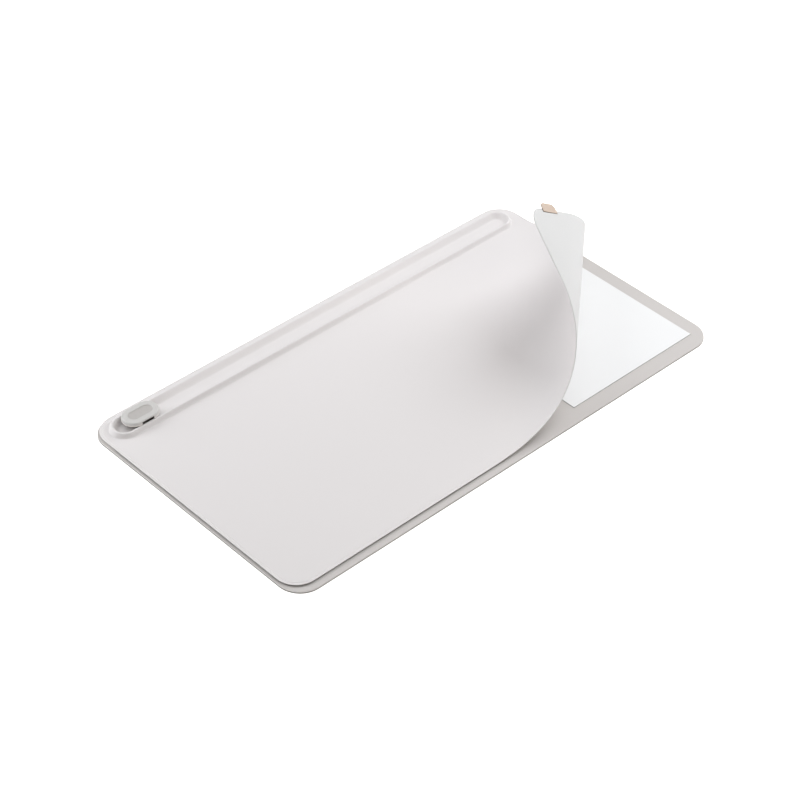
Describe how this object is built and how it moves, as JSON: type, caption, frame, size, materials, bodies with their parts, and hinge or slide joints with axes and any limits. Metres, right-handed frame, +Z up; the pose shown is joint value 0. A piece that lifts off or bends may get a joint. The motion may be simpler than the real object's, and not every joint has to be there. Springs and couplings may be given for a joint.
{
  "type": "desk mat with document pocket",
  "caption": "Flat desk and drawing mat: felt base, leather leaf whose corner curls open over a paper pocket, raised pen tray and a magnetic cable holder.",
  "frame": {"origin": "middle of the underside, where the mat rests on the desk", "axes": "+X along the long side, +Y towards the pen tray at the back, +Z up"},
  "size_m": [0.686, 0.376, 0.1646],
  "materials": {
    "leather": "smooth, matte, fine grain",
    "lining": "smooth coated microfibre",
    "felt": "pressed felt",
    "foot_pad": "thin felt",
    "rubber": "matte",
    "adhesive": "matte",
    "foam": "matte, moulded",
    "steel": "satin",
    "magnet": "nickel plated",
    "silicone": "soft-touch matte",
    "paper": "plain office paper",
    "tab": "matte with dark cut edges"
  },
  "bodies": {
    "mat": {"anti_slip_sheet": "rubber", "base_felt": "felt", "bond_strip": "adhesive", "tray_core": "foam", "tray_cover": "leather", "keeper_plate_left": "steel", "keeper_plate_right": "steel"},
    "leaf": {"leaf_skin": "leather", "leaf_lining": "lining"},
    "curl_01": {"curl_skin_01": "leather", "curl_lining_01": "lining"},
    "curl_02": {"curl_skin_02": "leather", "curl_lining_02": "lining"},
    "curl_03": {"curl_skin_03": "leather", "curl_lining_03": "lining"},
    "curl_04": {"curl_skin_04": "leather", "curl_lining_04": "lining"},
    "curl_05": {"curl_skin_05": "leather", "curl_lining_05": "lining"},
    "curl_06": {"curl_skin_06": "leather", "curl_lining_06": "lining"},
    "curl_07": {"curl_skin_07": "leather", "curl_lining_07": "lining"},
    "curl_08": {"curl_skin_08": "leather", "curl_lining_08": "lining"},
    "curl_09": {"curl_skin_09": "leather", "curl_lining_09": "lining"},
    "curl_10": {"curl_skin_10": "leather", "curl_lining_10": "lining"},
    "curl_11": {"curl_skin_11": "leather", "curl_lining_11": "lining"},
    "curl_12": {"curl_skin_12": "leather", "curl_lining_12": "lining"},
    "curl_13": {"curl_skin_13": "leather", "curl_lining_13": "lining"},
    "curl_14": {"curl_skin_14": "leather", "curl_lining_14": "lining"},
    "curl_15": {"curl_skin_15": "leather", "curl_lining_15": "lining"},
    "curl_16": {"curl_skin_16": "leather", "curl_lining_16": "lining", "pull_tab": "tab"},
    "cable_holder": {"holder_cap": "silicone", "holder_body": "silicone", "holder_foot_pad": "foot_pad", "holder_magnet_left": "magnet", "holder_magnet_right": "magnet"},
    "paper": {"paper_sheets": "paper"}
  },
  "joints": [
    {"name": "leaf_lift", "type": "hinge", "parent": "mat", "child": "leaf", "pos_m": [0, 0.138, 0.0051], "axis": [-1, 0, 0], "range_deg": [0, 90]},
    {"name": "curl_01_bend", "type": "hinge", "parent": "leaf", "child": "curl_01", "pos_m": [0.18637, 0.00198, 0.0051], "axis": [-0.7559, -0.6547, 0], "range_deg": [-8.3, 1.5]},
    {"name": "curl_02_bend", "type": "hinge", "parent": "curl_01", "child": "curl_02", "pos_m": [0.1981, -0.01157, 0.00778], "axis": [-0.7559, -0.6547, 0], "range_deg": [-8.31, 1.51]},
    {"name": "curl_03_bend", "type": "hinge", "parent": "curl_02", "child": "curl_03", "pos_m": [0.20708, -0.02194, 0.01197], "axis": [-0.7559, -0.6547, 0], "range_deg": [-8.31, 1.51]},
    {"name": "curl_04_bend", "type": "hinge", "parent": "curl_03", "child": "curl_04", "pos_m": [0.21416, -0.03011, 0.01713], "axis": [-0.7559, -0.6547, 0], "range_deg": [-8.31, 1.51]},
    {"name": "curl_05_bend", "type": "hinge", "parent": "curl_04", "child": "curl_05", "pos_m": [0.21988, -0.03672, 0.02302], "axis": [-0.7559, -0.6547, 0], "range_deg": [-8.31, 1.51]},
    {"name": "curl_06_bend", "type": "hinge", "parent": "curl_05", "child": "curl_06", "pos_m": [0.22457, -0.04213, 0.02958], "axis": [-0.7559, -0.6547, 0], "range_deg": [-8.31, 1.51]},
    {"name": "curl_07_bend", "type": "hinge", "parent": "curl_06", "child": "curl_07", "pos_m": [0.22839, -0.04654, 0.03679], "axis": [-0.7559, -0.6547, 0], "range_deg": [-8.31, 1.51]},
    {"name": "curl_08_bend", "type": "hinge", "parent": "curl_07", "child": "curl_08", "pos_m": [0.23142, -0.05004, 0.04465], "axis": [-0.7559, -0.6547, 0], "range_deg": [-8.31, 1.51]},
    {"name": "curl_09_bend", "type": "hinge", "parent": "curl_08", "child": "curl_09", "pos_m": [0.23367, -0.05263, 0.05313], "axis": [-0.7559, -0.6547, 0], "range_deg": [-8.31, 1.51]},
    {"name": "curl_10_bend", "type": "hinge", "parent": "curl_09", "child": "curl_10", "pos_m": [0.23509, -0.05427, 0.0622], "axis": [-0.7559, -0.6547, 0], "range_deg": [-8.31, 1.51]},
    {"name": "curl_11_bend", "type": "hinge", "parent": "curl_10", "child": "curl_11", "pos_m": [0.23564, -0.05491, 0.07175], "axis": [-0.7559, -0.6547, 0], "range_deg": [-8.31, 1.51]},
    {"name": "curl_12_bend", "type": "hinge", "parent": "curl_11", "child": "curl_12", "pos_m": [0.23524, -0.05445, 0.08169], "axis": [-0.7559, -0.6547, 0], "range_deg": [-8.31, 1.51]},
    {"name": "curl_13_bend", "type": "hinge", "parent": "curl_12", "child": "curl_13", "pos_m": [0.23383, -0.05282, 0.09183], "axis": [-0.7559, -0.6547, 0], "range_deg": [-8.31, 1.51]},
    {"name": "curl_14_bend", "type": "hinge", "parent": "curl_13", "child": "curl_14", "pos_m": [0.23134, -0.04995, 0.10199], "axis": [-0.7559, -0.6547, 0], "range_deg": [-8.31, 1.51]},
    {"name": "curl_15_bend", "type": "hinge", "parent": "curl_14", "child": "curl_15", "pos_m": [0.22773, -0.04578, 0.11194], "axis": [-0.7559, -0.6547, 0], "range_deg": [-8.31, 1.51]},
    {"name": "curl_16_bend", "type": "hinge", "parent": "curl_15", "child": "curl_16", "pos_m": [0.22296, -0.04027, 0.12143], "axis": [-0.7559, -0.6547, 0], "range_deg": [-8.31, 1.51]},
    {"name": "cable_holder_lift", "type": "slide", "parent": "mat", "child": "cable_holder", "axis": [0, 0, 1], "range_m": [0, 0.03]},
    {"name": "paper_slide", "type": "slide", "parent": "mat", "child": "paper", "axis": [1, 0, 0], "range_m": [0, 0.24]}
  ],
  "couplings": [
    {"joint": "curl_02_bend", "follows": "curl_01_bend", "ratio": 1},
    {"joint": "curl_03_bend", "follows": "curl_01_bend", "ratio": 1},
    {"joint": "curl_04_bend", "follows": "curl_01_bend", "ratio": 1},
    {"joint": "curl_05_bend", "follows": "curl_01_bend", "ratio": 1},
    {"joint": "curl_06_bend", "follows": "curl_01_bend", "ratio": 1},
    {"joint": "curl_07_bend", "follows": "curl_01_bend", "ratio": 1},
    {"joint": "curl_08_bend", "follows": "curl_01_bend", "ratio": 1},
    {"joint": "curl_09_bend", "follows": "curl_01_bend", "ratio": 1},
    {"joint": "curl_10_bend", "follows": "curl_01_bend", "ratio": 1},
    {"joint": "curl_11_bend", "follows": "curl_01_bend", "ratio": 1},
    {"joint": "curl_12_bend", "follows": "curl_01_bend", "ratio": 1},
    {"joint": "curl_13_bend", "follows": "curl_01_bend", "ratio": 1},
    {"joint": "curl_14_bend", "follows": "curl_01_bend", "ratio": 1},
    {"joint": "curl_15_bend", "follows": "curl_01_bend", "ratio": 1},
    {"joint": "curl_16_bend", "follows": "curl_01_bend", "ratio": 1}
  ]
}
